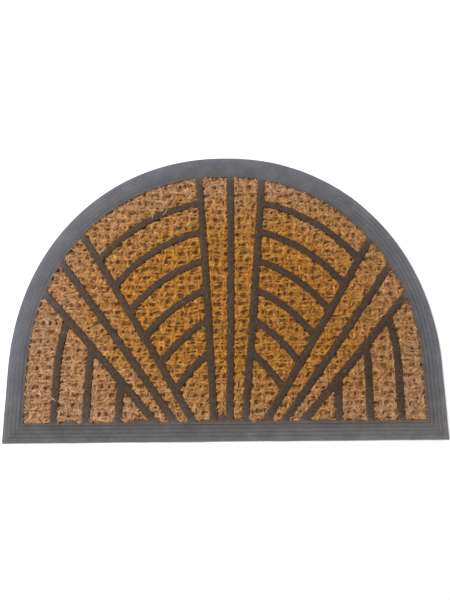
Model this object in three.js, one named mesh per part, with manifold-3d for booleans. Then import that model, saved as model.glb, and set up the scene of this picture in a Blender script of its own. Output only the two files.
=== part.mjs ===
// A half-round doormat: a rubber moulding with a bevelled, grooved border and a fan of flat ribs,
// pressed in one mould round one half-round sheet of woven coir.
// Millimetres, +Z up. The origin is the middle of the mat's footprint, on the floor under it.
// The straight edge faces -Y, and the crown of the arch faces +Y.

import * as THREE from 'three';
import { mergeVertices } from 'three/addons/utils/BufferGeometryUtils.js';
import Module from 'manifold-3d';

const wasm = await Module();
wasm.setup();

// Outline of the mat
const WIDTH = 600;           // along the straight edge
const DEPTH = 411;           // from the straight edge to the crown
const SIDE_HEIGHT = 97;      // upright side between the straight edge and the arch
const ARCH_POWER = 2.09;     // 2 is an ellipse, a little more is a fuller shoulder
const ARCH_STEPS = 60;       // straight steps round the arch

// Border: its width differs a little from side to side
const BORDER_FOOT = 26;      // along the straight edge
const BORDER_SIDE = 28.8;    // at the upright sides
const BORDER_CROWN = 33.3;   // at the crown
const BEVEL_ROUNDING = 1.5;  // 1 is a flat bevel, more is steeper at its outer edge

// Grooves that run round the border. share is a groove's place across the border, from the outer
// edge (0) to the coir (1), half is half its width in the same measure, and depth is in millimetres.
const GROOVES = [
  { share: 0.250, half: 0.021, depth: 0.5 },
  { share: 0.454, half: 0.021, depth: 0.5 },
  { share: 0.658, half: 0.021, depth: 0.5 },
  { share: 0.852, half: 0.032, depth: 1.3 },
];
const LIP_SHARE = 0.884;     // share where the last groove ends and the flat lip starts

// Heights above the floor
const BACKING = 2;           // top of the backing sheet
const EDGE_HEIGHT = 2.4;     // upright outer edge of the border
const RIB_UNDER = 4.5;       // underside of the ribs and of the border's lip
const RIB_TOP = 7;
const COIR_TOP = 6.8;
const GAP = 0.3;             // clearance between coir and rubber

// Fan of ribs, in the fan's own coordinates: x from its centre line, y from the mat's straight edge.
// Each row is a straight rib and its mirror image: foot is x where the rib leaves the border, and
// lean is the sideways run for each millimetre of height.
const RIB_WIDTH = 9.6;
const STRAIGHT_RIBS = [
  { foot: 0, lean: 0 },
  { foot: 21.0, lean: 0.073 },
  { foot: 48.9, lean: 0.615 },
  { foot: 73.7, lean: 0.737 },
  { foot: 99.5, lean: 0.890 },
];
const STEEP_LEAN = 0.5;      // ribs that lean more than this meet the arch lower down
const SHORT_RIB_TOP = 330;   // height to which those run before they are trimmed
const RIB_ROOT = 14;         // height at which ribs and stems start, hidden in the border
const RIB_STEPS = 3;

// Arcs that bulge up and outwards between the second and the third straight rib, a row for each
// from the crown down, with the heights of its two ends and its radius
const ARC_WIDTH = 9.2;
const ARCS = [
  { onSecondRib: 337.2, onThirdRib: 250.2, radius: 242 },
  { onSecondRib: 293.4, onThirdRib: 212.0, radius: 218 },
  { onSecondRib: 249.6, onThirdRib: 175.2, radius: 201 },
  { onSecondRib: 207.0, onThirdRib: 139.0, radius: 194 },
  { onSecondRib: 164.2, onThirdRib: 102.8, radius: 215 },
  { onSecondRib: 119.2, onThirdRib: 67.2, radius: 235 },
];
const FLATTER_ON_RIGHT = 0.07; // the arcs on the right have this share more radius, the left less
const ARC_STEPS = 8;

// Stems in each lower corner: upright, then bending in with the arch until they meet the last rib
const STEM_COUNT = 3;
const STEM_OUTER = 234.2;    // x of the outermost stem
const STEM_PITCH = 42.8;
const STEM_STEPS = 7;

// The whole fan was pressed a little to the right of the mat's middle, less so near the border
const SLIP_CROWN = 10.9;
const SLIP_FOOT = 5.8;
const SLIP_REACH = 340;      // x at which the slip would have faded out

// The half-round outline at a share of the border's width from the edge (0) to the coir (1), and
// moved in by a further plain inset. Every call has the same number of points, in the same order.
function halfRound(share, inset = 0) {
  const halfWidth = WIDTH / 2 - BORDER_SIDE * share - inset;
  const rise = DEPTH - SIDE_HEIGHT - BORDER_CROWN * share - inset;
  const foot = -DEPTH / 2 + BORDER_FOOT * share + inset;
  const spring = SIDE_HEIGHT - DEPTH / 2;
  const points = [new THREE.Vector2(-halfWidth, foot), new THREE.Vector2(halfWidth, foot)];
  for (let i = 0; i <= ARCH_STEPS; i += 1) {
    const turn = Math.PI * i / ARCH_STEPS;
    const across = Math.cos(turn);
    const up = Math.max(Math.sin(turn), 0);
    points.push(new THREE.Vector2(
      halfWidth * Math.sign(across) * Math.abs(across) ** (2 / ARCH_POWER),
      spring + rise * up ** (2 / ARCH_POWER),
    ));
  }
  return points;
}

// A flat slab of the given outline between two heights
function slab(outline, low, high) {
  const geometry = new THREE.ExtrudeGeometry(new THREE.Shape(outline), {
    depth: high - low,
    bevelEnabled: false,
  });
  geometry.translate(0, 0, low);
  return geometry;
}

// A closed ring with the same section all round the half-round outline. The section's corners run
// up the outer edge, over the top and down the inner side, each at its share across the border.
function borderRing(section) {
  const vertices = [];
  for (const corner of section) {
    for (const point of halfRound(corner.share)) {
      vertices.push(point.x, point.y, corner.height);
    }
  }
  const around = vertices.length / 3 / section.length;
  const indices = [];
  for (let s = 0; s < section.length; s += 1) {
    const row = s * around;
    const nextRow = ((s + 1) % section.length) * around;
    for (let i = 0; i < around; i += 1) {
      const next = (i + 1) % around;
      indices.push(row + i, row + next, nextRow + next, row + i, nextRow + next, nextRow + i);
    }
  }
  const geometry = new THREE.BufferGeometry();
  geometry.setAttribute('position', new THREE.Float32BufferAttribute(vertices, 3));
  geometry.setIndex(indices);
  return geometry;
}

// The border's section: an upright edge, a bevel with grooves, a flat lip and the lip's undercut
function borderSection() {
  const bevel = (share) => (
    EDGE_HEIGHT + (RIB_TOP - EDGE_HEIGHT) * (1 - (1 - share / LIP_SHARE) ** BEVEL_ROUNDING)
  );
  const section = [
    { share: 0, height: 0 },
    { share: 0, height: EDGE_HEIGHT },
    { share: GROOVES[0].share / 2, height: bevel(GROOVES[0].share / 2) },
  ];
  for (const { share, half, depth } of GROOVES) {
    section.push({ share: share - half, height: bevel(share - half) });
    section.push({ share, height: bevel(share) - depth });
    section.push({ share: share + half, height: bevel(share + half) });
  }
  section.push({ share: 1, height: RIB_TOP });
  section.push({ share: 1, height: RIB_UNDER });
  section.push({ share: LIP_SHARE, height: RIB_UNDER });
  section.push({ share: LIP_SHARE, height: 0 });
  return section;
}

// From the fan's coordinates to the mat's, on one side (1 is right, -1 is left of the centre line)
function onMat(x, y, side) {
  const across = side * x;
  const down = 1 - (y - BORDER_FOOT) / (DEPTH - BORDER_FOOT - BORDER_CROWN);
  const slip = SLIP_CROWN - (SLIP_CROWN - SLIP_FOOT) * down ** 2;
  const fade = 1 - (across / SLIP_REACH) ** 2;
  return new THREE.Vector2(across + slip * fade, y - DEPTH / 2);
}

// The outline of a strip of even width along a centre line
function strip(line, width) {
  const left = [];
  const right = [];
  line.forEach((point, i) => {
    const before = line[Math.max(i - 1, 0)];
    const after = line[Math.min(i + 1, line.length - 1)];
    const along = after.clone().sub(before).normalize();
    const aside = new THREE.Vector2(-along.y, along.x).multiplyScalar(width / 2);
    left.push(point.clone().add(aside));
    right.push(point.clone().sub(aside));
  });
  return right.concat(left.reverse());
}

// x of a straight rib's centre line at a height
function ribX(rib, y) {
  return rib.foot + rib.lean * (y - BORDER_FOOT);
}

// A straight rib from its root in the border to past the arch, where it is trimmed
function straightRibLine(rib, side) {
  const high = rib.lean > STEEP_LEAN ? SHORT_RIB_TOP : DEPTH;
  const line = [];
  for (let i = 0; i <= RIB_STEPS; i += 1) {
    const y = RIB_ROOT + (high - RIB_ROOT) * i / RIB_STEPS;
    line.push(onMat(ribX(rib, y), y, side));
  }
  return line;
}

// One arc, as a round stretch between the centre lines of two straight ribs
function arcLine(arc, side) {
  const inner = new THREE.Vector2(ribX(STRAIGHT_RIBS[1], arc.onSecondRib), arc.onSecondRib);
  const outer = new THREE.Vector2(ribX(STRAIGHT_RIBS[2], arc.onThirdRib), arc.onThirdRib);
  const radius = arc.radius * (1 + side * FLATTER_ON_RIGHT);
  const chord = outer.clone().sub(inner);
  const toCentre = Math.sqrt(radius ** 2 - chord.lengthSq() / 4);
  const centre = inner.clone().add(outer).multiplyScalar(0.5)
    .add(new THREE.Vector2(chord.y, -chord.x).normalize().multiplyScalar(toCentre));
  const start = inner.clone().sub(centre).angle();
  const sweep = outer.clone().sub(centre).angle() - start;
  const line = [];
  for (let i = 0; i <= ARC_STEPS; i += 1) {
    const turn = start + sweep * i / ARC_STEPS;
    line.push(onMat(
      centre.x + radius * Math.cos(turn),
      centre.y + radius * Math.sin(turn),
      side,
    ));
  }
  return line;
}

// One stem, counted inwards from the side: upright to the arch's spring, then on a circle about the
// middle of the spring line, as far as the last straight rib
function stemLine(index, side) {
  const x = STEM_OUTER - STEM_PITCH * index;
  const rib = STRAIGHT_RIBS[STRAIGHT_RIBS.length - 1];
  const meetsUpright = BORDER_FOOT + (x - rib.foot) / rib.lean;
  if (meetsUpright <= SIDE_HEIGHT) {
    return [onMat(x, RIB_ROOT, side), onMat(x, meetsUpright, side)];
  }
  // Where the circle crosses the rib: (foot + lean t)^2 + (BORDER_FOOT + t - SIDE_HEIGHT)^2 = x^2
  const drop = BORDER_FOOT - SIDE_HEIGHT;
  const a = rib.lean ** 2 + 1;
  const b = rib.foot * rib.lean + drop;
  const c = rib.foot ** 2 + drop ** 2 - x ** 2;
  const t = (-b + Math.sqrt(b ** 2 - a * c)) / a;
  const end = Math.atan2(drop + t, rib.foot + rib.lean * t);
  const line = [onMat(x, RIB_ROOT, side)];
  for (let i = 0; i <= STEM_STEPS; i += 1) {
    const turn = end * i / STEM_STEPS;
    line.push(onMat(x * Math.cos(turn), SIDE_HEIGHT + x * Math.sin(turn), side));
  }
  return line;
}

// All ribs as strips between two heights, each wider than the real rib by twice the clearance
function ribSlabs(low, high, clearance) {
  const slabs = [];
  const add = (line, width) => {
    slabs.push(slab(strip(line, width + 2 * clearance), low, high));
  };
  for (const side of [1, -1]) {
    STRAIGHT_RIBS.forEach((rib) => {
      if (rib.foot > 0 || side === 1) {
        add(straightRibLine(rib, side), RIB_WIDTH);
      }
    });
    ARCS.forEach((arc) => {
      add(arcLine(arc, side), ARC_WIDTH);
    });
    for (let i = 0; i < STEM_COUNT; i += 1) {
      add(stemLine(i, side), RIB_WIDTH);
    }
  }
  return slabs;
}

// Between three.js geometries and solids that can be joined and cut
function solidOf(geometry) {
  const bare = geometry.clone();
  bare.deleteAttribute('normal');
  bare.deleteAttribute('uv');
  const merged = mergeVertices(bare, 1e-4);
  return new wasm.Manifold(new wasm.Mesh({
    numProp: 3,
    vertProperties: new Float32Array(merged.attributes.position.array),
    triVerts: new Uint32Array(merged.index.array),
  }));
}

function geometryOf(solid) {
  const mesh = solid.getMesh();
  const geometry = new THREE.BufferGeometry();
  geometry.setAttribute('position', new THREE.BufferAttribute(mesh.vertProperties, 3));
  geometry.setIndex(new THREE.BufferAttribute(mesh.triVerts, 1));
  geometry.computeVertexNormals();
  return geometry;
}

function joined(solids) {
  return solids.reduce((whole, solid) => whole.add(solid));
}

// Rubber moulding: backing sheet, border and ribs in one
function rubberGeometry() {
  const middleOfLip = (1 + LIP_SHARE) / 2;
  const middleOfBevel = LIP_SHARE / 2;
  const backing = solidOf(slab(halfRound(middleOfBevel), 0, BACKING));
  const border = solidOf(borderRing(borderSection()));
  const ribs = joined(ribSlabs(RIB_UNDER, RIB_TOP, 0).map(solidOf))
    .intersect(solidOf(slab(halfRound(middleOfLip), RIB_UNDER, RIB_TOP)));
  return geometryOf(joined([backing, border, ribs]));
}

// Coir matting: a flat sheet whose edge lies under the lip, with a pressed channel under each rib
function coirGeometry() {
  const pressed = solidOf(slab(halfRound(LIP_SHARE, GAP), BACKING + GAP, RIB_UNDER - GAP));
  const raised = solidOf(slab(halfRound(1, GAP), BACKING + 2 * GAP, COIR_TOP));
  const channels = joined(ribSlabs(RIB_UNDER - GAP, RIB_TOP, GAP).map(solidOf));
  return geometryOf(pressed.add(raised).subtract(channels));
}

const group = new THREE.Group();

const rubber = new THREE.Mesh(
  rubberGeometry(),
  new THREE.MeshStandardMaterial({ color: 0x5d5c5c, roughness: 0.75, metalness: 0 }),
);
rubber.name = 'rubber_moulding';
group.add(rubber);

const coir = new THREE.Mesh(
  coirGeometry(),
  new THREE.MeshStandardMaterial({ color: 0x966b41, roughness: 0.95, metalness: 0 }),
);
coir.name = 'coir_matting';
group.add(coir);

export default group;
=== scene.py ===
import math

import bpy
import numpy as np
from mathutils import Matrix, Vector


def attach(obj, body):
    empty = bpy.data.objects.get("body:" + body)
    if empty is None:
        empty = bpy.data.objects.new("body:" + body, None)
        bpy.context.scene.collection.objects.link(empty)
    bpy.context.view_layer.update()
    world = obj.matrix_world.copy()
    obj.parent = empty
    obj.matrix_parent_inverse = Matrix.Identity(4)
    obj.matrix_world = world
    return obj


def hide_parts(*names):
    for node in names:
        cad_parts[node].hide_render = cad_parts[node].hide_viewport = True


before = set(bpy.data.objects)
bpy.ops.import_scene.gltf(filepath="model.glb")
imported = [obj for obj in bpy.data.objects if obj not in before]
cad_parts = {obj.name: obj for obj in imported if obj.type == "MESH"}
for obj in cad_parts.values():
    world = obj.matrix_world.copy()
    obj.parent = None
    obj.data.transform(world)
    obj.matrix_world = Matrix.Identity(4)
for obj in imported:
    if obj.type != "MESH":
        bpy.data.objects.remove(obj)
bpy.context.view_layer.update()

# Camera: the mat is seen from close above, a little in front of its straight edge, through a wide
# phone lens that was turned by half a degree.
camera_data = bpy.data.cameras.new("camera")
camera_data.lens = 26.0
camera_data.sensor_width = 36.0
camera_data.clip_start = 0.01
camera_data.clip_end = 50.0
camera = bpy.data.objects.new("camera", camera_data)
bpy.context.scene.collection.objects.link(camera)
CAMERA_TARGET = Vector((0.00097, -0.01262, 0.0024))
CAMERA_DISTANCE = 0.6151
CAMERA_ELEVATION = math.radians(79.57)
CAMERA_ROLL = math.radians(-0.538)
camera_back = Vector((0, -math.cos(CAMERA_ELEVATION), math.sin(CAMERA_ELEVATION)))
level_right = Vector((1, 0, 0))
level_up = camera_back.cross(level_right)
camera_right = level_right * math.cos(CAMERA_ROLL) + level_up * math.sin(CAMERA_ROLL)
camera_up = camera_back.cross(camera_right)
camera_axes = Matrix((camera_right, camera_up, camera_back)).transposed().to_4x4()
camera.matrix_world = (
    Matrix.Translation(CAMERA_TARGET + camera_back * CAMERA_DISTANCE) @ camera_axes
)
bpy.context.scene.camera = camera

# Rubber moulding: backing sheet, bevelled and grooved border and a fan of flat ribs, vulcanised
# from black rubber compound in one pressing, with the coir sheet laid in the mould. Sizes are in
# millimetres and are the solid's, apart from those of the webs and of the flash.
MM = 0.001
WIDTH, DEPTH, SIDE_HEIGHT = 600.0, 411.0, 97.0
SPRING = SIDE_HEIGHT - DEPTH / 2
ARCH_POWER = 2.09
FOOT_STEPS, SIDE_STEPS, ARCH_STEPS = 180, 30, 200
BORDER_FOOT, BORDER_SIDE, BORDER_CROWN = 26.0, 28.8, 33.3
# The border's mean width, which turns a share of it into millimetres
BORDER_MEAN = 29.0
BEVEL_ROUNDING = 1.5
# Each groove's middle and half width, as shares of the border's width, and its depth
GROOVES = [(0.250, 0.021, 0.5), (0.454, 0.021, 0.5), (0.658, 0.021, 0.5), (0.852, 0.032, 1.3)]
# The shares that the first and last groove lie past, and how much of a groove dust can fill
FIRST_GROOVE, LAST_GROOVE, DUST_FILL = 0.2, 0.8, 0.55
LIP_SHARE = 0.884
BACKING, EDGE_HEIGHT, RIB_UNDER, RIB_TOP = 2.0, 2.4, 4.5, 7.0
# A rib's rounded upper edge, and how far its side flares out to its foot
EDGE_ROUND, EDGE_SHOULDER, EDGE_FLARE = 0.75, 0.22, 0.10
RIB_WIDTH, ARC_WIDTH = 9.6, 9.2
# A rib is built from rings this far apart, and its edges waver finely and then over a few rings
RING_STEP, FINE_WAVER, WAVER, FLASH_WAVER = 1.7, 0.10, 0.12, 0.6
THINNEST_FLASH = 0.8
# Each straight rib's foot, from the middle line, and how far it leans out for each unit up
STRAIGHT_RIBS = [(0, 0), (21.0, 0.073), (48.9, 0.615), (73.7, 0.737), (99.5, 0.890)]
WIDE_LEAN, SHORT_RIB_TOP, RIB_ROOT = 0.5, 330.0, 14.0
# Each arc's height on the second straight rib and on the third, and its radius
ARCS = [
    (337.2, 250.2, 242), (293.4, 212.0, 218), (249.6, 175.2, 201),
    (207.0, 139.0, 194), (164.2, 102.8, 215), (119.2, 67.2, 235),
]
FLATTER_ON_RIGHT = 0.07
STEM_COUNT, STEM_OUTER, STEM_PITCH = 3, 234.2, 42.8
# How far each top lies under the ribs' level, so that no two flat tops fall together
STRAIGHT_SINK, WEB_SINK, CURVED_SINK, FLASH_SINK = 0.02, 0.035, 0.05, 0.4
# A web's rounding, the farthest it reaches along a rib, and how far it runs on into the ribs: past
# its own ends, in under their edges and in under their corner
WEB_RADIUS, WEB_REACH, WEB_LAP, WEB_DEPTH, WEB_TIP = 3.0, 7.0, 0.8, 1.2, 1.5
# Each flash's two ends along the straight lip, and how far it reaches over the coir
FLASH = [
    (-218, -201, 3.0), (-126, -104, 4.5), (-34, -20, 3.5), (-11, 2, 9.0), (10, 19, 5.0),
    (52, 63, 3.0), (128, 141, 2.6), (196, 208, 2.2),
]
# The fan's slip to the right at its crown and its foot, and how far out it fades to nothing
SLIP_CROWN, SLIP_FOOT, SLIP_REACH = 10.9, 5.8, 340.0
rubber_random = np.random.default_rng(41)


def half_round(share, inset=0.0):
    """The half-round outline at a share of the border's width, from the edge (0) to the coir (1)."""
    half_width = WIDTH / 2 - BORDER_SIDE * share - inset
    rise = DEPTH - SIDE_HEIGHT - BORDER_CROWN * share - inset
    foot = -DEPTH / 2 + BORDER_FOOT * share + inset
    along_foot = np.linspace(-half_width, half_width, FOOT_STEPS + 1)[:-1]
    up_side = np.linspace(foot, SPRING, SIDE_STEPS + 1)[:-1]
    side_x = np.full(SIDE_STEPS, half_width)
    turn = np.linspace(0, math.pi, ARCH_STEPS + 1)
    power = 2 / ARCH_POWER
    arch_x = half_width * np.sign(np.cos(turn)) * np.abs(np.cos(turn)) ** power
    arch_y = SPRING + rise * np.abs(np.sin(turn)) ** power
    x = np.concatenate([along_foot, side_x, arch_x, -side_x[1:]])
    y = np.concatenate([np.full(FOOT_STEPS, foot), up_side, arch_y, up_side[:0:-1]])
    return np.stack([x, y], axis=1)


def border_share(x, y):
    """How far a point lies in from the mat's edge: 0 at the edge, 1 where the coir starts. It is
    found by halving a range of shares that reaches past both the edge and the middle."""
    low = np.full(np.shape(x), -1.0)
    high = np.full(np.shape(x), 8.5)
    for _ in range(28):
        middle = (low + high) / 2
        across = np.abs(x) / (WIDTH / 2 - BORDER_SIDE * middle)
        up = np.maximum(y - SPRING, 0) / (DEPTH - SIDE_HEIGHT - BORDER_CROWN * middle)
        inside = across ** ARCH_POWER + up ** ARCH_POWER < 1
        low = np.where(inside, middle, low)
        high = np.where(inside, high, middle)
    return np.minimum(low, (y + DEPTH / 2) / BORDER_FOOT)


def bevel(share):
    """The border's height at a share of its width, without its grooves."""
    rise = 1 - np.abs(1 - share / LIP_SHARE) ** BEVEL_ROUNDING
    return EDGE_HEIGHT + (RIB_TOP - EDGE_HEIGHT) * rise


def border_section():
    """The border's section as share across it and height, up the outer edge and down the pocket."""
    section = [(0.0, 0.0), (0.0, EDGE_HEIGHT - 0.5), (0.006, EDGE_HEIGHT - 0.1)]
    section += [(share, bevel(share)) for share in (0.025, 0.075, 0.125, 0.18)]
    for i, (centre, half, depth) in enumerate(GROOVES):
        for u in (-1.5, -1.0, -0.6, 0.0, 0.6, 1.0, 1.5):
            share = centre + half * u
            if share < LIP_SHARE:
                cut = depth * max(0.0, math.cos(math.pi / 3 * u))
                section.append((share, bevel(share) - cut))
        if i < 2:
            between = (centre + GROOVES[i + 1][0]) / 2
            section.append((between, bevel(between)))
    section += [(LIP_SHARE + 0.012, RIB_TOP), (0.965, RIB_TOP)]
    section += [(0.987, RIB_TOP - EDGE_SHOULDER), (1.0, RIB_TOP - EDGE_ROUND)]
    section += [(1.0, RIB_UNDER), (LIP_SHARE, RIB_UNDER), (LIP_SHARE, 0.0)]
    return section


def waviness(count, reach, size):
    """A smooth random run of numbers along an edge, each felt over a few neighbours."""
    kernel = np.hanning(2 * reach + 1)
    kernel /= math.sqrt((kernel ** 2).sum())
    return size * np.convolve(rubber_random.normal(size=count + 2 * reach), kernel, "valid")


def added(name, data):
    """Puts a mesh into the scene as an object of its own."""
    piece = bpy.data.objects.new(name, data)
    bpy.context.scene.collection.objects.link(piece)
    return piece


def note_points(data, name, values):
    """Notes one number on each point of a mesh, for its material to read."""
    data.attributes.new(name, "FLOAT", "POINT").data.foreach_set("value", values)


def at_height(outline, height):
    return np.column_stack([outline, np.full(len(outline), height)])


def closed_loft(name, rings, loop):
    """A mesh through rings of points. It closes on itself as a loop, or has an end face at each end."""
    count, around = rings.shape[:2]
    data = bpy.data.meshes.new(name)
    faces = []
    for i in range(count if loop else count - 1):
        after = (i + 1) % count
        for j in range(around):
            beside = (j + 1) % around
            faces.append((
                i * around + j, i * around + beside, after * around + beside, after * around + j,
            ))
    if not loop:
        faces.append(tuple(reversed(range(around))))
        faces.append(tuple(range((count - 1) * around, count * around)))
    data.from_pydata((rings.reshape(-1, 3) * MM).tolist(), [], faces)
    data.validate()
    return added(name, data)


def on_mat(x, y, side):
    """From the fan's own coordinates to the mat's, with the fan's slip to the right."""
    across = side * x
    down = 1 - (y - BORDER_FOOT) / (DEPTH - BORDER_FOOT - BORDER_CROWN)
    slip = SLIP_CROWN - (SLIP_CROWN - SLIP_FOOT) * down ** 2
    fade = 1 - (across / SLIP_REACH) ** 2
    return np.stack([across + slip * fade, y - DEPTH / 2], axis=1)


def straight_rib_line(foot, lean, side):
    """The middle line of a straight rib. Both its ends lie past the lip, where the fan is trimmed."""
    high = SHORT_RIB_TOP if lean > WIDE_LEAN else DEPTH
    y = np.linspace(RIB_ROOT, high, 25)
    return on_mat(foot + lean * (y - BORDER_FOOT), y, side)


def turn_between(centre, first, last, count):
    """The angles of an arc about a centre, from one point to another."""
    start, end = (math.atan2(*(point - centre)[::-1]) for point in (first, last))
    sweep = (end - start + math.pi) % (2 * math.pi) - math.pi
    return start + sweep * np.linspace(0, 1, count)


def arc_line(on_second, on_third, radius, side):
    """The middle line of a curved rib, a circle's arc between the second and third straight ribs."""
    (foot_2, lean_2), (foot_3, lean_3) = STRAIGHT_RIBS[1:3]
    inner = np.array([foot_2 + lean_2 * (on_second - BORDER_FOOT), on_second])
    outer = np.array([foot_3 + lean_3 * (on_third - BORDER_FOOT), on_third])
    radius = radius * (1 + side * FLATTER_ON_RIGHT)
    chord = outer - inner
    aside = np.array([chord[1], -chord[0]]) / np.linalg.norm(chord)
    centre = (inner + outer) / 2 + aside * math.sqrt(radius ** 2 - chord @ chord / 4)
    turn = turn_between(centre, inner, outer, 25)
    return on_mat(centre[0] + radius * np.cos(turn), centre[1] + radius * np.sin(turn), side)


def stem_line(index, side):
    """The middle line of a stem: upright, then round with the arch until it meets the last rib."""
    x = STEM_OUTER - STEM_PITCH * index
    foot, lean = STRAIGHT_RIBS[-1]
    meets_upright = BORDER_FOOT + (x - foot) / lean
    if meets_upright <= SIDE_HEIGHT:
        y = np.linspace(RIB_ROOT, meets_upright, 8)
        return on_mat(np.full(8, x), y, side)
    drop = BORDER_FOOT - SIDE_HEIGHT
    a, b, c = lean ** 2 + 1, foot * lean + drop, foot ** 2 + drop ** 2 - x ** 2
    t = (-b + math.sqrt(b ** 2 - a * c)) / a
    turn = math.atan2(drop + t, foot + lean * t) * np.linspace(0, 1, 20)
    arch = on_mat(x * np.cos(turn), SIDE_HEIGHT + x * np.sin(turn), side)
    upright = np.linspace(RIB_ROOT, SIDE_HEIGHT, 9)[:-1]
    return np.concatenate([on_mat(np.full(8, x), upright, side), arch])


rib_lines = []
joints = []
lip_level = BORDER_FOOT - RIB_WIDTH / 2 - DEPTH / 2
lip_line = np.array([(-280.0, lip_level), (280.0, lip_level)])


def from_lip(line):
    """The part of a rib's line from where it crosses the lip of the straight border."""
    start = [np.interp(lip_level, line[:3, 1], line[:3, 0]), lip_level]
    return np.concatenate([[start], line[line[:, 1] > lip_level + 1]])


for side in (1, -1):
    straight = [straight_rib_line(foot, lean, side) for foot, lean in STRAIGHT_RIBS]
    for line in straight[0 if side == 1 else 1:]:
        rib_lines.append((line, RIB_WIDTH, RIB_TOP - STRAIGHT_SINK))
        joints.append((from_lip(line), RIB_WIDTH, lip_line))
    for on_second, on_third, radius in ARCS:
        arc = arc_line(on_second, on_third, radius, side)
        rib_lines.append((arc, ARC_WIDTH, RIB_TOP - CURVED_SINK))
        joints += [(arc, ARC_WIDTH, straight[1]), (arc[::-1], ARC_WIDTH, straight[2])]
    for index in range(STEM_COUNT):
        stem = stem_line(index, side)
        rib_lines.append((stem, RIB_WIDTH, RIB_TOP - CURVED_SINK))
        joints += [(stem[::-1], RIB_WIDTH, straight[-1]), (from_lip(stem), RIB_WIDTH, lip_line)]
flash_lines = []
for start, end, reach in FLASH:
    line = np.array([(start, BORDER_FOOT - DEPTH / 2), (end, BORDER_FOOT - DEPTH / 2)])
    flash_lines.append((line, 2 * reach, RIB_TOP - FLASH_SINK))


def flank(top):
    """A rib's side from its foot to its flat top: how far each point is set in, and its height."""
    return [
        (-EDGE_FLARE, RIB_UNDER), (0.0, top - EDGE_ROUND),
        (EDGE_SHOULDER, top - EDGE_SHOULDER), (EDGE_ROUND, top),
    ]


def rib_solid(line, width, top, waver=WAVER, tapered=False):
    """A flat rib with rounded upper edges that waver a little, as pressed rubber creeps into coir."""
    reach = np.concatenate([[0], np.cumsum(np.linalg.norm(np.diff(line, axis=0), axis=1))])
    places = np.linspace(0, reach[-1], max(int(reach[-1] / RING_STEP), 4))
    middle = np.stack([np.interp(places, reach, line[:, i]) for i in (0, 1)], axis=1)
    along = np.gradient(middle, axis=0)
    along /= np.linalg.norm(along, axis=1, keepdims=True)
    aside = np.stack([along[:, 1], -along[:, 0]], axis=1)
    count = len(places)
    right = width / 2 + waviness(count, 2, FINE_WAVER) + waviness(count, 8, waver)
    left = width / 2 + waviness(count, 2, FINE_WAVER) + waviness(count, 8, waver)
    if tapered:
        bulge = np.sqrt(np.sin(math.pi * np.linspace(0.06, 0.94, count)))
        right = np.maximum(right * bulge, THINNEST_FLASH)
        left = np.maximum(left * bulge, THINNEST_FLASH)
    section = [(1, *point) for point in flank(top)] + [(-1, *point) for point in flank(top)[::-1]]
    rings = np.zeros((count, len(section), 3))
    for i, (hand, inset, height) in enumerate(section):
        offset = (right if hand > 0 else left) - inset
        rings[:, i, :2] = middle + aside * (hand * offset)[:, None]
        rings[:, i, 2] = height
    return closed_loft("rib", rings, loop=False)


def unit(vector):
    return vector / np.linalg.norm(vector)


def corner_webs(line, width, crossed):
    """The two webs of rubber that round the corners where a rib starts from the one it crosses."""
    away = unit(line[np.argmax(np.linalg.norm(line - line[0], axis=1) > WEB_REACH)] - line[0])
    near = int(np.argmin(np.linalg.norm(crossed - line[0], axis=1)))
    run = unit(crossed[min(near + 1, len(crossed) - 1)] - crossed[max(near - 1, 0)])
    webs = []
    for edge in (run, -run):
        off_crossed = unit(away - (away @ edge) * edge)
        off_rib = unit(edge - (edge @ away) * away)
        offsets = off_rib * width / 2 - off_crossed * RIB_WIDTH / 2
        slide = np.linalg.solve(np.column_stack([edge, -away]), offsets)[0]
        corner = line[0] + off_crossed * RIB_WIDTH / 2 + edge * slide
        half_angle = math.acos(edge @ away) / 2
        radius = min(WEB_RADIUS, WEB_REACH * math.tan(half_angle))
        reach = radius / math.tan(half_angle)
        outward = unit(edge + away)
        centre = corner + outward * radius / math.sin(half_angle)
        on_crossed, on_rib = corner + edge * reach, corner + away * reach
        turn = turn_between(centre, on_crossed, on_rib, 8)
        tip = corner - outward * WEB_TIP
        first = on_crossed + edge * WEB_LAP - off_crossed * WEB_DEPTH
        last = on_rib + away * WEB_LAP - off_rib * WEB_DEPTH
        rings = []
        for inset, height in flank(RIB_TOP - WEB_SINK):
            curve = centre + (radius + inset) * np.column_stack([np.cos(turn), np.sin(turn)])
            rings.append(at_height(np.vstack([tip, first, curve, last]), height))
        rings = np.array(rings)
        x, y = rings[0, :, 0], rings[0, :, 1]
        if x @ np.roll(y, -1) < y @ np.roll(x, -1):
            rings = rings[:, ::-1]
        webs.append(closed_loft("web", rings, loop=False))
    return webs


def slab(outline, low, high):
    rings = np.array([at_height(outline, low), at_height(outline, high)])
    return closed_loft("slab", rings, loop=False)


def combined(base, steps):
    """Joins solids onto a base, or trims it by them, and leaves one clean mesh in the base."""
    for operation, other in steps:
        step = base.modifiers.new(operation.lower(), "BOOLEAN")
        step.operation = operation
        step.solver = "MANIFOLD"
        step.object = other
    scene_now = bpy.context.evaluated_depsgraph_get()
    result = bpy.data.meshes.new_from_object(base.evaluated_get(scene_now))
    base.modifiers.clear()
    base.data = result
    for _, other in steps:
        bpy.data.objects.remove(other)
    return base


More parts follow.
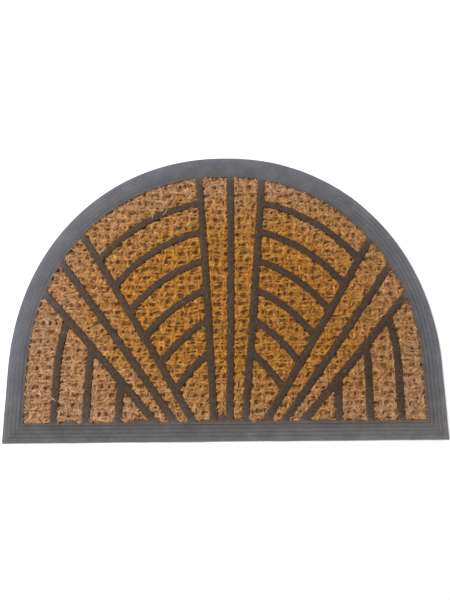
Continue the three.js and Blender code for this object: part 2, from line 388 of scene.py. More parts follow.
rib_solids = [rib_solid(*rib) for rib in rib_lines]
rib_solids += [rib_solid(*flash, waver=FLASH_WAVER, tapered=True) for flash in flash_lines]
for joint in joints:
    rib_solids += corner_webs(*joint)
fan_trim = slab(half_round((1 + LIP_SHARE) / 2), RIB_UNDER - 1, RIB_TOP + 1)
fan = combined(
    rib_solids[0], [("UNION", rib) for rib in rib_solids[1:]] + [("INTERSECT", fan_trim)]
)
section = border_section()
section_rings = np.array([at_height(half_round(share), height) for share, height in section])
around = section_rings.shape[1]
inner_wave = waviness(around, 3, 0.16) + waviness(around, 9, 0.12)
outer_wave = waviness(around, 9, 0.16) + waviness(around, 30, 0.3)
outline_normal = half_round(0) - half_round(1)
outline_normal /= np.linalg.norm(outline_normal, axis=1, keepdims=True)
for ring, (share, height) in zip(section_rings, section):
    # The lip wavers over the coir, and the top of the outer edge wavers inwards only
    if share > 0.95:
        ring[:, :2] += outline_normal * inner_wave[:, None]
    if share < 0.01 and height > 0:
        ring[:, :2] -= outline_normal * np.abs(outer_wave)[:, None]
    # The grooves are crisp along the straight edge and half filled with dust over the arch
    if FIRST_GROOVE < share < LIP_SHARE:
        dusty = np.clip((ring[:, 1] - 0.6 * ring[:, 0] + 60) / 160, 0, 1)
        crisp = 0.4 if share < LAST_GROOVE else 0.1
        ring[:, 2] += (DUST_FILL * dusty - crisp * (1 - dusty)) * (bevel(share) - height)
border = closed_loft("border", section_rings, loop=True)
backing = slab(half_round(LIP_SHARE / 2), 0.0, BACKING)
rubber = combined(border, [("UNION", backing), ("UNION", fan)])
rubber.name = rubber.data.name = "rubber_moulding_pressed"
rubber.data.shade_smooth()
rubber.data.set_sharp_from_angle(angle=math.radians(50))
rubber_points = np.empty(len(rubber.data.vertices) * 3)
rubber.data.vertices.foreach_get("co", rubber_points)
rubber_points = rubber_points.reshape(-1, 3) / MM
note_points(rubber.data, "across", border_share(rubber_points[:, 0], rubber_points[:, 1]))


def placed(tree, kind, **settings):
    """Adds a shader node, with its properties and the plain values of its inputs."""
    node = tree.nodes.new(kind)
    for name, value in settings.items():
        if name in node.inputs.keys():
            node.inputs[name].default_value = value
        else:
            setattr(node, name, value)
    return node


def colour_steps(tree, steps):
    """A colour ramp through the given positions and colours."""
    ramp = tree.nodes.new("ShaderNodeValToRGB")
    while len(ramp.color_ramp.elements) < len(steps):
        ramp.color_ramp.elements.new(0.5)
    for element, (position, colour) in zip(ramp.color_ramp.elements, steps):
        element.position = position
        element.color = (*colour, 1)
    return ramp


def ranged(tree, value, low, high, to_low=0.0, to_high=1.0):
    """A value mapped from one range to another and held at its ends."""
    node = placed(tree, "ShaderNodeMapRange")
    numbers = {"From Min": low, "From Max": high, "To Min": to_low, "To Max": to_high}
    for name, number in numbers.items():
        node.inputs[name].default_value = number
    tree.links.new(value, node.inputs["Value"])
    return node.outputs[0]


def multiplied(tree, first, second):
    node = placed(tree, "ShaderNodeMath", operation="MULTIPLY")
    tree.links.new(first, node.inputs[0])
    tree.links.new(second, node.inputs[1])
    return node.outputs[0]


def tinted(tree, colour, tint, amount=None):
    """A colour multiplied by a tint, plain or from a socket, fully or only by an amount."""
    node = placed(tree, "ShaderNodeMix", data_type="RGBA", blend_type="MULTIPLY", Factor=1.0)
    tree.links.new(colour, node.inputs["A"])
    if isinstance(tint, tuple):
        node.inputs["B"].default_value = (*tint, 1)
    else:
        tree.links.new(tint, node.inputs["B"])
    if amount is not None:
        tree.links.new(amount, node.inputs["Factor"])
    return node.outputs["Result"]


def rubber_material():
    """Matte black rubber with a fine mould grain, greyer outwards over the border from dust and a
    painted sheen.
    """
    material = bpy.data.materials.new("moulded_rubber")
    material.use_nodes = True
    tree = material.node_tree
    shader = tree.nodes["Principled BSDF"]
    link = tree.links.new
    place = placed(tree, "ShaderNodeTexCoord").outputs["Object"]
    share = placed(tree, "ShaderNodeAttribute", attribute_name="across").outputs["Fac"]
    # Dust and a painted sheen grey the border towards its outer edge. Painted light lifts the
    # deepest groove out of its shade, and a painted sheen greys the ribs near the border.
    sheen_and_dust_by_share = colour_steps(tree, [
        (0.000, (0.132, 0.132, 0.138)),
        (0.010, (0.113, 0.112, 0.118)),
        (0.060, (0.097, 0.095, 0.099)),
        (0.125, (0.086, 0.083, 0.085)),
        (0.142, (0.090, 0.082, 0.080)),
        (0.158, (0.084, 0.068, 0.060)),
        (0.200, (0.064, 0.045, 0.033)),
        (0.400, (0.052, 0.031, 0.018)),
    ])
    link(ranged(tree, share, 0.0, 6.0), sheen_and_dust_by_share.inputs[0])
    grain = placed(tree, "ShaderNodeTexNoise", Scale=330.0, Detail=4.0, Roughness=0.75)
    blotches = placed(tree, "ShaderNodeTexNoise", Scale=45.0, Detail=4.0, Roughness=0.6)
    grain_tone = colour_steps(tree, [(0.38, (0.62,) * 3), (0.62, (1.40,) * 3)])
    blotch_tone = colour_steps(tree, [(0.3, (0.82,) * 3), (0.7, (1.18,) * 3)])
    for noise, tone in ((grain, grain_tone), (blotches, blotch_tone)):
        link(place, noise.inputs["Vector"])
        link(noise.outputs["Fac"], tone.inputs[0])
    parts = placed(tree, "ShaderNodeSeparateXYZ")
    link(place, parts.inputs[0])
    # A painted bluish reflection over the rubber, except along the straight edge
    painted_blue_reflection = ranged(tree, parts.outputs["Y"], -0.185, -0.120)
    colour = tinted(tree, sheen_and_dust_by_share.outputs["Color"], (0.90, 0.93, 1.01), painted_blue_reflection)
    # Dust and a painted sheen lighten the right half of the border
    dust_and_sheen_right = ranged(tree, parts.outputs["X"], -0.10, 0.28)
    off_ribs = ranged(tree, share, 1.1, 0.9)
    colour = tinted(tree, colour, (1.34, 1.32, 1.29), multiplied(tree, dust_and_sheen_right, off_ribs))
    # The grain shows fully on the ribs, and only a quarter of it under the border's painted sheen
    grain_share = ranged(tree, share, 0.85, 1.3, 0.25)
    colour = tinted(tree, colour, grain_tone.outputs["Color"], grain_share)
    colour = tinted(tree, colour, blotch_tone.outputs["Color"])
    # Pale grit in the rubber's pores, in about one in six of the cells of a fine pattern
    grit = placed(tree, "ShaderNodeTexVoronoi", Scale=170.0, Randomness=1.0)
    link(place, grit.inputs["Vector"])
    grit_mask = colour_steps(tree, [(0.0, (1,) * 3), (0.05, (1,) * 3), (0.08, (0,) * 3)])
    link(grit.outputs["Distance"], grit_mask.inputs[0])
    cell_number = placed(tree, "ShaderNodeSeparateColor")
    link(grit.outputs["Color"], cell_number.inputs[0])
    rare = placed(tree, "ShaderNodeMath", operation="GREATER_THAN")
    rare.inputs[1].default_value = 0.84
    link(cell_number.outputs[0], rare.inputs[0])
    gritty = placed(tree, "ShaderNodeMix", data_type="RGBA", B=(0.42, 0.37, 0.31, 1))
    link(multiplied(tree, grit_mask.outputs["Color"], rare.outputs[0]), gritty.inputs["Factor"])
    link(colour, gritty.inputs["A"])
    link(gritty.outputs["Result"], shader.inputs["Base Color"])
    rough = ranged(tree, blotches.outputs["Fac"], 0.0, 1.0, 0.55, 0.78)
    link(rough, shader.inputs["Roughness"])
    bump = placed(tree, "ShaderNodeBump", Strength=0.35, Distance=0.0003)
    link(grain.outputs["Fac"], bump.inputs["Height"])
    link(bump.outputs["Normal"], shader.inputs["Normal"])
    shader.inputs["Specular IOR Level"].default_value = 0.16
    return material


rubber.data.materials.clear()
rubber.data.materials.append(rubber_material())
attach(rubber, "root")
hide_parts("rubber_moulding")

# Coir sheet: one half-round cut from a roll of woven coir matting, plain weave in pairs of two-ply
# yarns. The ribs and the border's lip were pressed down into it, and nothing else holds it.
COIR_CLEAR = 0.3
COIR_UNDERSIDE = BACKING + 0.05
WEFT_PITCH, WARP_PITCH = 12.5, 17.7
# Half a yarn's width, and how far the two yarns of a pair lie to each side of its middle
YARN_HALF, WEFT_SPREAD, WARP_SPREAD = 2.1, 2.1, 2.2
PLY_PITCH, PLY_SLANT, PLY_RELIEF = 4.3, math.radians(29), 0.45
# The level of the yarns' sides, how high they bulge over it, and how far they go over and under
WEFT_LEVEL, WARP_LEVEL, WEFT_BULGE, WARP_BULGE, CRIMP = 4.2, 4.0, 2.0, 1.9, 0.6
# The bottom of an open hole, and how much higher it is where the holes have closed
HOLE_LEVEL, HOLE_FILLED = 2.8, 2.0
# Beside rubber the coir starts at a pressed level, and it is free again within a millimetre
PRESSED_LEVEL, PRESSED_RISE, PRESSED_START, PRESSED_REACH = 4.15, 3.4, 0.1, 0.7
SHEET_STEP, SHEET_RIGHT, SHEET_BOTTOM, SHEET_TOP = 1.5, 276.0, -184.0, 178.0
GRID, GRID_RIGHT, GRID_TOP = 1.0, 300.0, 206.0
grid_x = np.arange(-GRID_RIGHT, GRID_RIGHT + GRID, GRID)
grid_y = np.arange(-GRID_TOP, GRID_TOP + GRID, GRID)
plan_x, plan_y = np.meshgrid(grid_x, grid_y)
FAR, FELT = 99.0, 12


def distance_to_ribs(x, y):
    """Plan distance in millimetres to the nearest rib's edge, negative under a rib. It is rounded in
    the corners between ribs, as the rubber's webs are."""
    nearest = np.full(x.shape, FAR)
    for line, width, _ in rib_lines + flash_lines:
        own = np.full(x.shape, FAR)
        reach = width / 2 + FELT
        for a, b in zip(line[:-1], line[1:]):
            box = (
                (x > min(a[0], b[0]) - reach) & (x < max(a[0], b[0]) + reach)
                & (y > min(a[1], b[1]) - reach) & (y < max(a[1], b[1]) + reach)
            )
            if not box.any():
                continue
            px, py = x[box] - a[0], y[box] - a[1]
            run = b - a
            t = np.clip((px * run[0] + py * run[1]) / (run @ run), 0, 1)
            gap = np.hypot(px - t * run[0], py - t * run[1]) - width / 2
            own[box] = np.minimum(own[box], gap)
        rounding = np.clip(1.2 * WEB_RADIUS - np.abs(nearest - own), 0, None)
        nearest = np.minimum(nearest, own) - rounding ** 2 / (4.8 * WEB_RADIUS)
    return nearest


class SmoothNoise:
    """Sums of seeded waves: a smooth field over the mat, about -1 to 1, with the wave length given."""
    def __init__(self, seed, length, count=14):
        waves = np.random.default_rng(seed)
        angle = waves.uniform(0, 2 * math.pi, count)
        size = 2 * math.pi / length * waves.uniform(0.6, 1.5, count)
        self.kx, self.ky = size * np.cos(angle), size * np.sin(angle)
        self.phase = waves.uniform(0, 2 * math.pi, count)
        self.gain = 1.3 / math.sqrt(count)

    def __call__(self, x, y):
        total = np.zeros(np.shape(x))
        for kx, ky, phase in zip(self.kx, self.ky, self.phase):
            total += np.sin(kx * x + ky * y + phase)
        return total * self.gain


drift_x, drift_y = SmoothNoise(3, 70), SmoothNoise(4, 60)
wander_x, wander_y = SmoothNoise(5, 16), SmoothNoise(6, 14)
fullness_weft, fullness_warp = SmoothNoise(7, 22), SmoothNoise(8, 20)
openness, lumps, ply_wander = SmoothNoise(9, 13), SmoothNoise(10, 4.5), SmoothNoise(11, 11)
parting, matted = SmoothNoise(12, 30), SmoothNoise(15, 17)


def weave_place(x, y):
    """A point's place in the weave, counted in warp pairs across and weft rows up."""
    across = (x + 1.8 * drift_x(x, y) + 1.0 * wander_x(x, y)) / WARP_PITCH
    up = (y + 1.2 * drift_y(x, y) + 0.45 * wander_y(x, y)) / WEFT_PITCH
    return across, up


def pair_of_yarns(beside, spread, half):
    """Height of a pair of yarns at a distance beside its centre line, each a dome of the given half
    width at its spread from that line. Where they part, there is a narrow gap between them."""
    own = (np.abs(beside) - spread) / half
    dome = np.sqrt(np.clip(1 - own ** 2, 0, 1))
    side = 0.12
    return np.where(np.abs(own) < 1, side + (1 - side) * dome, 0)


def ply_twist(along, beside, pair):
    """The plies of a twisted yarn, 1 on a ply's crown and -1 in the groove between two plies. The
    two yarns of a pair are twisted opposite ways, so their plies meet in arrow heads. Each yarn
    starts its twist at another place."""
    hand = np.sign(beside)
    q = along * math.sin(PLY_SLANT) - hand * beside * math.cos(PLY_SLANT)
    return np.cos(2 * math.pi * (q / PLY_PITCH + 0.37 * hand + 1.7 * np.sin(3.1 * pair)))


def bare_weave(x, y):
    """The woven sheet where nothing presses on it: its height, which yarn is on top there (1 weft,
    2 warp, 0 neither), how near the light it lies, from 0 in a hole to 1 on a yarn's crown, and its
    plies, from -1 to 1."""
    across, up = weave_place(x, y)
    warp, weft = np.round(across), np.round(up)
    parity = np.where((warp + weft) % 2 == 0, 1.0, -1.0)
    wave = np.cos(math.pi * (across - warp)) * np.cos(math.pi * (up - weft)) * parity
    off_weft, off_warp = (up - weft) * WEFT_PITCH, (across - warp) * WARP_PITCH
    # The holes close and the yarns fill out from the middle of the mat towards its edge
    outward = np.hypot(x / 260, (y + 20) / 190)
    tightness = openness(x, y) + 1.2 * (outward - 0.61)
    fullness = openness(x, y) + 0.4 * (outward - 0.61) - 0.25
    swelling = np.where(fullness > 0, 0.13, 0.28) * np.clip(fullness, -1.2, 2)
    weft_half = YARN_HALF * (1 + 0.12 * fullness_weft(x, y) + swelling)
    warp_half = YARN_HALF * (1 + 0.15 * fullness_warp(x, y) + swelling)
    weft_dome = pair_of_yarns(off_weft, WEFT_SPREAD + 0.25 * parting(y, x), weft_half)
    warp_dome = pair_of_yarns(off_warp, WARP_SPREAD + 0.40 * parting(x, y), warp_half)
    uneven = 1.6 * ply_wander(x, y)
    weft_ply = ply_twist(across * WARP_PITCH + uneven, off_weft, weft)
    warp_ply = ply_twist(up * WEFT_PITCH + uneven, off_warp, warp + 40)
    weft_high = WEFT_LEVEL + CRIMP * wave + WEFT_BULGE * weft_dome + PLY_RELIEF * weft_ply
    warp_high = WARP_LEVEL - CRIMP * wave + WARP_BULGE * warp_dome + PLY_RELIEF * warp_ply
    weft_high = np.where(weft_dome > 0, weft_high, 0)
    warp_high = np.where(warp_dome > 0, warp_high, 0)
    closed = np.clip(0.8 + 0.8 * tightness, 0, 1)
    floor = HOLE_LEVEL + HOLE_FILLED * closed
    top = np.maximum(np.maximum(weft_high, warp_high), floor)
    kind = np.where(weft_high >= warp_high, 1, 2)
    kind = np.where(floor >= np.maximum(weft_high, warp_high), 0, kind)
    ply = np.where(kind == 1, weft_ply, np.where(kind == 2, warp_ply, 0))
    light = (0.15 + 0.42 * closed) * closed
    light = np.where(kind == 1, 0.30 + 0.58 * weft_dome ** 2 + 0.08 * wave, light)
    light = np.where(kind == 2, 0.28 + 0.56 * warp_dome ** 2 - 0.12 * wave, light)
    light = np.where(kind > 0, light + 0.16 * ply, light)
    light += matted(x, y) * (0.02 + 0.12 * np.clip(1 - outward, 0, 1))
    return top + 0.15 * lumps(x, y), kind, np.clip(light, 0, 1), ply


glare_haze_patches = SmoothNoise(13, 60)


def painted_glare_haze(x, y):
    """Painted glare: 0, golden, in the middle of the mat, up to 1, paler and pinker, along the border.
    """
    across = (x - 12 + 0.12 * np.minimum(y, 0)) / 275
    up = (y + 16) / 185
    outward = (np.abs(across) ** 2.5 + np.abs(up) ** 2.5) ** 0.4
    return np.clip((outward - 0.52) / 0.5 + 0.07 * glare_haze_patches(x, y), 0, 1)


off_border = (border_share(plan_x, plan_y) - 1) * BORDER_MEAN
plan_gap = np.minimum(distance_to_ribs(plan_x, plan_y), off_border)
plan_high, plan_kind, plan_light, plan_ply = bare_weave(plan_x, plan_y)
freed = np.sqrt(np.clip((plan_gap - PRESSED_START) / PRESSED_REACH, 0, 1))
plan_high = np.minimum(plan_high, PRESSED_LEVEL + PRESSED_RISE * freed)


def from_plan(field, x, y):
    """Reads a plan field at any points, between its grid lines."""
    u = np.clip((x - grid_x[0]) / GRID, 0, len(grid_x) - 1.001)
    v = np.clip((y - grid_y[0]) / GRID, 0, len(grid_y) - 1.001)
    i, j = u.astype(int), v.astype(int)
    fu, fv = u - i, v - j
    return (
        field[j, i] * (1 - fu) * (1 - fv) + field[j, i + 1] * fu * (1 - fv)
        + field[j + 1, i] * (1 - fu) * fv + field[j + 1, i + 1] * fu * fv
    )


def woven_sheet():
    """A closed sheet: its woven top, its flat underside, and a cut edge on the half-round outline."""
    xs = np.arange(-SHEET_RIGHT, SHEET_RIGHT + 0.1, SHEET_STEP)
    ys = np.arange(SHEET_BOTTOM, SHEET_TOP + 0.1, SHEET_STEP)
    x, y = np.meshgrid(xs, ys)
    outline = half_round(LIP_SHARE, COIR_CLEAR)
    inside = border_share(x, y) > LIP_SHARE + COIR_CLEAR / BORDER_MEAN
    cell = inside[:-1, :-1] | inside[1:, :-1] | inside[:-1, 1:] | inside[1:, 1:]
    used = np.zeros(inside.shape, bool)
    used[:-1, :-1] |= cell
    used[1:, :-1] |= cell
    used[:-1, 1:] |= cell
    used[1:, 1:] |= cell
    # The outermost points of the net are drawn onto the cut line
    dense = []
    for a, b in zip(outline, np.roll(outline, -1, axis=0)):
        count = max(int(np.hypot(*(b - a)) / 0.2), 1)
        dense.append(a + (b - a) * np.linspace(0, 1, count, endpoint=False)[:, None])
    dense = np.concatenate(dense)
    for j, i in zip(*np.nonzero(used & ~inside)):
        near = dense[np.argmin((dense[:, 0] - x[j, i]) ** 2 + (dense[:, 1] - y[j, i]) ** 2)]
        x[j, i], y[j, i] = near
    number = np.full(inside.shape, -1)
    number[used] = np.arange(used.sum())
    high = from_plan(plan_high, x, y)
    points = np.stack([x[used], y[used], high[used]], axis=1)
    j, i = np.nonzero(cell)
    corners = [number[j, i], number[j, i + 1], number[j + 1, i + 1], number[j + 1, i]]
    top = np.stack(corners, axis=1)
    sides = np.concatenate([top[:, [0, 1]], top[:, [1, 2]], top[:, [2, 3]], top[:, [3, 0]]])
    seen = {tuple(pair) for pair in sides.tolist()}
    rim = [pair for pair in sides.tolist() if (pair[1], pair[0]) not in seen]
    follows = dict(rim)
    loop = [rim[0][0]]
    while follows[loop[-1]] != loop[0]:
        loop.append(follows[loop[-1]])
    under = len(points) + np.arange(len(loop))
    floor_points = points[loop].copy()
    floor_points[:, 2] = COIR_UNDERSIDE
    faces = top.tolist()
    for k in range(len(loop)):
        after = (k + 1) % len(loop)
        faces.append([loop[after], loop[k], int(under[k]), int(under[after])])
    faces.append([int(n) for n in under[::-1]])
    data = bpy.data.meshes.new("coir_matting_woven")
    data.from_pydata((np.concatenate([points, floor_points]) * MM).tolist(), [], faces)
    data.validate()
    data.shade_smooth()
    data.set_sharp_from_angle(angle=math.radians(80))
    on_top = from_plan(plan_light, points[:, 0], points[:, 1])
    note_points(data, "light", np.concatenate([on_top, np.zeros(len(floor_points))]))
    note_points(data, "glare_haze", np.concatenate([
        painted_glare_haze(points[:, 0], points[:, 1]), painted_glare_haze(floor_points[:, 0], floor_points[:, 1]),
    ]))
    return added("coir_matting_woven", data)


coir = woven_sheet()


def coir_colour_group():
    """Colour of coir. Tone runs from a dark fibre to a bleached one, Light from deep in a hole to a
    yarn's crown, and the third input from golden coir to coir paled by a painted glare haze."""
    group = bpy.data.node_groups.new("coir_colour", "ShaderNodeTree")
    for socket in ("Tone", "Light", "Glare_haze"):
        group.interface.new_socket(socket, in_out="INPUT", socket_type="NodeSocketFloat")
    group.interface.new_socket("Color", in_out="OUTPUT", socket_type="NodeSocketColor")
    inward = group.nodes.new("NodeGroupInput")
    outward = group.nodes.new("NodeGroupOutput")
    link = group.links.new
    golden = colour_steps(group, [
        (0.00, (0.186, 0.066, 0.010)),
        (0.35, (0.350, 0.147, 0.021)),
        (0.70, (0.585, 0.285, 0.049)),
        (0.94, (0.720, 0.430, 0.130)),
        (1.00, (0.860, 0.640, 0.380)),
    ])
    glare_hazed = colour_steps(group, [
        (0.00, (0.196, 0.097, 0.046)),
        (0.35, (0.333, 0.184, 0.097)),
        (0.70, (0.552, 0.329, 0.182)),
        (0.94, (0.740, 0.502, 0.305)),
        (1.00, (0.860, 0.700, 0.530)),
    ])
    link(inward.outputs["Tone"], golden.inputs[0])
    link(inward.outputs["Tone"], glare_hazed.inputs[0])
    # Painted glare: the coir turns paler and pinker under a haze of glare towards the border
    lit = placed(group, "ShaderNodeMix", data_type="RGBA")
    link(inward.outputs["Glare_haze"], lit.inputs["Factor"])
    link(golden.outputs["Color"], lit.inputs["A"])
    link(glare_hazed.outputs["Color"], lit.inputs["B"])
    shade = colour_steps(group, [
        (0.00, (0.122, 0.064, 0.031)),
        (0.25, (0.160, 0.069, 0.024)),
        (0.52, (0.200, 0.070, 0.014)),
    ])
    link(inward.outputs["Light"], shade.inputs[0])
    depth = ranged(group, inward.outputs["Light"], 0.25, 0.80)
    depth.node.interpolation_type = "SMOOTHSTEP"
    shaded = placed(group, "ShaderNodeMix", data_type="RGBA")
    link(depth, shaded.inputs["Factor"])
    link(shade.outputs["Color"], shaded.inputs["A"])
    link(lit.outputs["Result"], shaded.inputs["B"])
    link(shaded.outputs["Result"], outward.inputs["Color"])
    return group


coir_colour = coir_colour_group()


def coir_base(name, roughness, specular):
    """A coir material, with its tree, its shader and the colour group that feeds the shader."""
    material = bpy.data.materials.new(name)
    material.use_nodes = True
    tree = material.node_tree
    shader = tree.nodes["Principled BSDF"]
    shader.inputs["Roughness"].default_value = roughness
    shader.inputs["Specular IOR Level"].default_value = specular
    colour = placed(tree, "ShaderNodeGroup", node_tree=coir_colour)
    for socket in ("Light", "Glare_haze"):
        value = placed(tree, "ShaderNodeAttribute", attribute_name=socket.lower())
        tree.links.new(value.outputs["Fac"], colour.inputs[socket])
    tree.links.new(colour.outputs["Color"], shader.inputs["Base Color"])
    return material, tree, shader, colour


def yarn_material():
    """The body of the yarns under the loose fibres: dark, matted coir with fine strands."""
    material, tree, shader, colour = coir_base("coir_yarn", 0.9, 0.2)
    link = tree.links.new
    place = placed(tree, "ShaderNodeTexCoord").outputs["Object"]
    strands = placed(
        tree, "ShaderNodeTexNoise", Scale=420.0, Detail=4.0, Roughness=0.7, Distortion=1.2
    )
    link(place, strands.inputs["Vector"])
    tone = colour_steps(tree, [(0.34, (0.0,) * 3), (0.44, (0.36,) * 3), (0.66, (0.62,) * 3)])
    link(strands.outputs["Fac"], tone.inputs[0])
    link(tone.outputs[0], colour.inputs["Tone"])
    bump = placed(tree, "ShaderNodeBump", Strength=0.8, Distance=0.0005)
    link(strands.outputs["Fac"], bump.inputs["Height"])
    link(bump.outputs["Normal"], shader.inputs["Normal"])
    return material


coir.data.materials.append(yarn_material())
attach(coir, "root")
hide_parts("coir_matting")

# Coir fibres: stiff brown hairs, a centimetre or so long, that make up the yarns and stand off them.
# Along a yarn they lie slanting, as its twist has them, and the loose ones cross at every angle.
FIBRE_RIGHT, FIBRE_BOTTOM, FIBRE_TOP = 272, -180, 174
DRAWN_AT_ONCE = 40000
# How far over the ribs' tops a fibre lies that crosses them, and how far a fibre's ends sink in
OVER_RUBBER, END_SINK = 0.3, 0.35
# The share of fibres that may cross the lip or a rib, how far they reach over it, and how near to
# the rubber the others come
OVER_LIP, OVER_RIB, LIP_CROSSED, RIB_CROSSED, KEPT_OFF = 0.9, 0.22, 2.8, 1.5, 0.15
fibre_random = np.random.default_rng(77)


def fibre_mesh(name, nodes, thick, tone, light):
    """Joins fibres into one mesh. Each has four nodes: pointed ends and two three-sided rings."""
    count = len(nodes)
    along = nodes[:, 2] - nodes[:, 1]
    along /= np.linalg.norm(along, axis=1, keepdims=True) + 1e-9
    aside = np.cross(along, [0.0, 0.0, 1.0])
    aside /= np.linalg.norm(aside, axis=1, keepdims=True) + 1e-9
    upward = np.cross(aside, along)
    points = np.zeros((count, 8, 3))
    points[:, 0], points[:, 7] = nodes[:, 0], nodes[:, 3]
    for k in range(3):
        turn = math.pi / 2 + k * 2 * math.pi / 3
        spoke = aside * math.cos(turn) + upward * math.sin(turn)
        points[:, 1 + k] = nodes[:, 1] + spoke * thick[:, None] / 2
        points[:, 4 + k] = nodes[:, 2] + spoke * thick[:, None] / 2
    corners = [0, 2, 1, 0, 3, 2, 0, 1, 3, 7, 4, 5, 7, 5, 6, 7, 6, 4]
    corners += [1, 2, 5, 4, 2, 3, 6, 5, 3, 1, 4, 6]
    sizes = np.array([3] * 6 + [4] * 3)
    loops = (np.array(corners)[None, :] + 8 * np.arange(count)[:, None]).ravel()
    totals = np.tile(sizes, count)
    data = bpy.data.meshes.new(name)
    data.vertices.add(count * 8)
    data.vertices.foreach_set("co", (points * MM).ravel())
    data.loops.add(len(loops))
    data.loops.foreach_set("vertex_index", loops)
    data.polygons.add(len(totals))
    data.polygons.foreach_set("loop_start", np.concatenate([[0], np.cumsum(totals)[:-1]]))
    data.polygons.foreach_set("loop_total", totals)
    data.update(calc_edges=True)
    data.validate()
    data.shade_smooth()
    middle = (nodes[:, 1] + nodes[:, 2]) / 2
    note_points(data, "tone", np.repeat(tone, 8))
    note_points(data, "light", light[:, [0, 1, 1, 1, 2, 2, 2, 3]].ravel())
    note_points(data, "glare_haze", np.repeat(painted_glare_haze(middle[:, 0], middle[:, 1]), 8))
    return added(name, data)


def laid_fibres(x, y, heading, length, lift, bend, nearest):
    """Four nodes for each fibre, laid over the weave from its middle. It is cut short where it would
    come nearer to the rubber than its nearest distance, which is negative if it may lie over it."""
    spans = np.array([-0.5, -0.19, 0.19, 0.5])
    bow = np.array([0.0, 1.0, 1.0, 0.0])
    along = np.stack([np.cos(heading), np.sin(heading)], axis=1)
    aside = np.stack([-along[:, 1], along[:, 0]], axis=1)
    nodes = np.zeros((len(x), 4, 3))
    light = np.zeros((len(x), 4))
    over = nearest < 0
    for k in range(4):
        reach = length * spans[k]
        # A node that comes too near the rubber is drawn back, up to five times
        for _ in range(5):
            px = x + along[:, 0] * reach + aside[:, 0] * bend * bow[k]
            py = y + along[:, 1] * reach + aside[:, 1] * bend * bow[k]
            reach = np.where(from_plan(plan_gap, px, py) < nearest, reach * 0.6, reach)
        end = k in (0, 3)
        high = from_plan(plan_high, px, py) + (lift * 0.4 - END_SINK if end else lift)
        on_rubber = over & (from_plan(plan_gap, px, py) < 0.7)
        nodes[:, k] = np.stack([px, py, np.where(on_rubber, RIB_TOP + OVER_RUBBER, high)], axis=1)
        light[:, k] = np.maximum(from_plan(plan_light, px, py), np.where(on_rubber, 0.6, 0))
    return nodes, light


def scattered(count, kinds):
    """Random places on the open coir, only where the given yarn (1 weft, 2 warp, 0 hole) is on top."""
    found_x, found_y = [], []
    total = 0
    while total < count:
        x = fibre_random.uniform(-FIBRE_RIGHT, FIBRE_RIGHT, DRAWN_AT_ONCE)
        y = fibre_random.uniform(FIBRE_BOTTOM, FIBRE_TOP, DRAWN_AT_ONCE)
        i = np.round((x - grid_x[0]) / GRID).astype(int)
        j = np.round((y - grid_y[0]) / GRID).astype(int)
        good = (plan_gap[j, i] > 0.6) & np.isin(plan_kind[j, i], kinds)
        found_x.append(x[good])
        found_y.append(y[good])
        total += good.sum()
    return np.concatenate(found_x)[:count], np.concatenate(found_y)[:count]


def yarn_side(x, y, weft):
    """Which yarn of its pair a point lies on, 1 or -1."""
    across, up = weave_place(x, y)
    place = up if weft else across
    return np.sign(place - np.round(place))


def fibre_material():
    """Single hairs, each with its own tone, and with slight streaks of lighter and darker coir."""
    material, tree, _, colour = coir_base("coir_fibre", 0.65, 0.25)
    link = tree.links.new
    place = placed(tree, "ShaderNodeTexCoord").outputs["Object"]
    streaks = placed(tree, "ShaderNodeTexNoise", Scale=300.0, Detail=2.0, Roughness=0.6)
    link(place, streaks.inputs["Vector"])
    tone = placed(tree, "ShaderNodeAttribute", attribute_name="tone").outputs["Fac"]
    streaked = placed(tree, "ShaderNodeMath", operation="ADD")
    link(tone, streaked.inputs[0])
    link(ranged(tree, streaks.outputs["Fac"], 0.3, 0.7, -0.12, 0.12), streaked.inputs[1])
    link(streaked.outputs[0], colour.inputs["Tone"])
    return material


def painted_shade_patch(x, y):
    """Painted shade, up to 1: a wide darker patch on the right of the mat, towards its front."""
    return np.exp(-((x - 150) / 90) ** 2 - ((y + 60) / 100) ** 2)


coir_fibre = fibre_material()
fibre_pieces = []
yarn_tone = SmoothNoise(21, 12, 30)
for name, kinds, count, lift_top in (
    ("coir_weft_fibres", [1], 16400, 0.45),
    ("coir_warp_fibres", [2], 13000, 0.45),
    ("coir_loose_fibres", [0, 1, 2], 3400, 0.8),
):
    x, y = scattered(count, kinds)
    loose = len(kinds) > 1
    if loose:
        heading = fibre_random.uniform(0, math.pi, count)
    elif kinds == [1]:
        heading = yarn_side(x, y, True) * PLY_SLANT + fibre_random.normal(0, 0.10, count)
    else:
        heading = math.pi / 2 - yarn_side(x, y, False) * PLY_SLANT
        heading += fibre_random.normal(0, 0.10, count)
    length = np.clip(fibre_random.normal(10 if loose else 9.0, 2.5, count), 4, 18)
    lift = fibre_random.uniform(0.05, lift_top, count)
    bend = fibre_random.normal(0, 0.7 if loose else 0.3, count)
    by_lip = border_share(x, y) < 1.3
    over = fibre_random.uniform(0, 1, count) < np.where(by_lip, OVER_LIP, OVER_RIB)
    nearest = np.where(over, np.where(by_lip, -LIP_CROSSED, -RIB_CROSSED), KEPT_OFF)
    nodes, light = laid_fibres(x, y, heading, length, lift, bend, nearest)
    thick = np.clip(fibre_random.normal(0.82, 0.2, count), 0.4, 1.4)
    # Most fibres are near their yarn's tone, and a few are much darker
    # Painted shade darkens a wide patch on the right of the mat
    tone = 0.68 + 0.12 * yarn_tone(x, y) - 0.07 * painted_shade_patch(x, y)
    tone -= fibre_random.gamma(2.2, 0.093, count)
    if loose:
        light = np.maximum(light, 0.55)
        tone += 0.03
    else:
        light = np.maximum(light, 0.22)
        # Painted shade: fibres in the grooves between plies are darker, and on the plies' crowns
        # lighter
        tone += 0.24 * from_plan(plan_ply, x, y)
    fibre_pieces.append(fibre_mesh(name, nodes, thick, np.clip(tone, 0, 0.83), light))

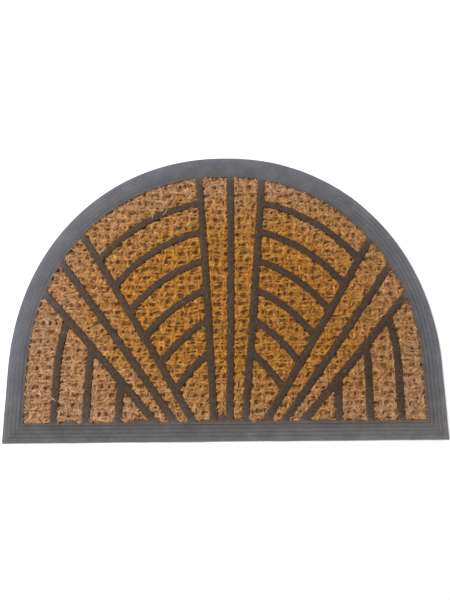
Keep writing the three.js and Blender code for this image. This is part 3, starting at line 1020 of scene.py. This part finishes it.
# Stray fibres: coir hairs shed over the ribs and held by nothing. Four bleached ones lie where the
# photo shows them: two crossed on the left outer stem and two over the left's first curved rib.
SEEN_STRAYS = [
    (-237.0, -149.7, 24, 16.0, 0.4), (-232.5, -147.5, -40, 13.0, 0.0),
    (-102.0, 114.5, 78, 20.0, 1.2), (-86.0, 119.5, 60, 18.0, -1.6),
]
OTHER_STRAYS, STRAY_TRIES = 22, 900
stray_x = fibre_random.uniform(-265, 265, STRAY_TRIES)
stray_y = fibre_random.uniform(-176, 170, STRAY_TRIES)
on_rib = (from_plan(plan_gap, stray_x, stray_y) < -2) & (border_share(stray_x, stray_y) > 1.1)
found = on_rib.sum()
strays = np.column_stack([
    stray_x[on_rib], stray_y[on_rib], fibre_random.uniform(0, 180, found),
    fibre_random.uniform(4, 10, found), fibre_random.normal(0, 0.9, found),
])[:OTHER_STRAYS]
strays = np.concatenate([np.array(SEEN_STRAYS), strays])
x, y, heading, length, bend = strays.T
nodes, light = laid_fibres(x, y, np.radians(heading), length, 0.6, bend, -FAR)
seen = len(SEEN_STRAYS)
thick = np.concatenate([np.full(seen, 0.75), fibre_random.uniform(0.35, 0.6, OTHER_STRAYS)])
tone = np.concatenate([np.ones(seen), fibre_random.uniform(0.4, 0.9, OTHER_STRAYS)])
fibre_pieces.append(fibre_mesh("coir_stray_fibres", nodes, thick, tone, np.ones_like(light)))

# All the fibres are coir, and the coir sheet, which lies on the rubber's backing, carries them.
for piece in fibre_pieces:
    piece.data.materials.append(coir_fibre)
    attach(piece, "root")

# Floor and light: the mat lies on a plain white studio floor under a broad soft light, with a cooler
# window light from the left.
FLOOR_HALF, FLOOR_LEVEL = 4, -0.0002
floor_corners = [
    (side_x * FLOOR_HALF, side_y * FLOOR_HALF, FLOOR_LEVEL)
    for side_x, side_y in ((-1, -1), (1, -1), (1, 1), (-1, 1))
]
floor_data = bpy.data.meshes.new("studio_floor")
floor_data.from_pydata(floor_corners, [], [(0, 1, 2, 3)])
floor = added("studio_floor", floor_data)
floor_material = bpy.data.materials.new("studio_floor")
floor_material.use_nodes = True
floor_shader = floor_material.node_tree.nodes["Principled BSDF"]
floor_shader.inputs["Base Color"].default_value = (0.93, 0.93, 0.93, 1)
floor_shader.inputs["Roughness"].default_value = 0.9
floor_shader.inputs["Specular IOR Level"].default_value = 0.1
floor_data.materials.append(floor_material)

world = bpy.data.worlds.new("studio")
world.use_nodes = True
world.node_tree.nodes["Background"].inputs["Color"].default_value = (1.0, 1.0, 1.0, 1)
world.node_tree.nodes["Background"].inputs["Strength"].default_value = 0.64
bpy.context.scene.world = world


def soft_light(name, place, size, power, colour):
    data = bpy.data.lights.new(name, "AREA")
    data.shape = "SQUARE"
    data.size = size
    data.energy = power
    data.color = colour
    light = bpy.data.objects.new(name, data)
    light.location = place
    light.rotation_mode = "QUATERNION"
    light.rotation_quaternion = Vector(place).to_track_quat("Z", "Y")
    bpy.context.scene.collection.objects.link(light)


soft_light("overhead", (-0.92, 0.50, 1.36), 0.7, 28.0, (1.0, 0.98, 0.95))
soft_light("window", (-1.9, 0.3, 0.9), 1.0, 6.0, (0.84, 0.92, 1.0))
bpy.context.scene.view_settings.view_transform = "Standard"
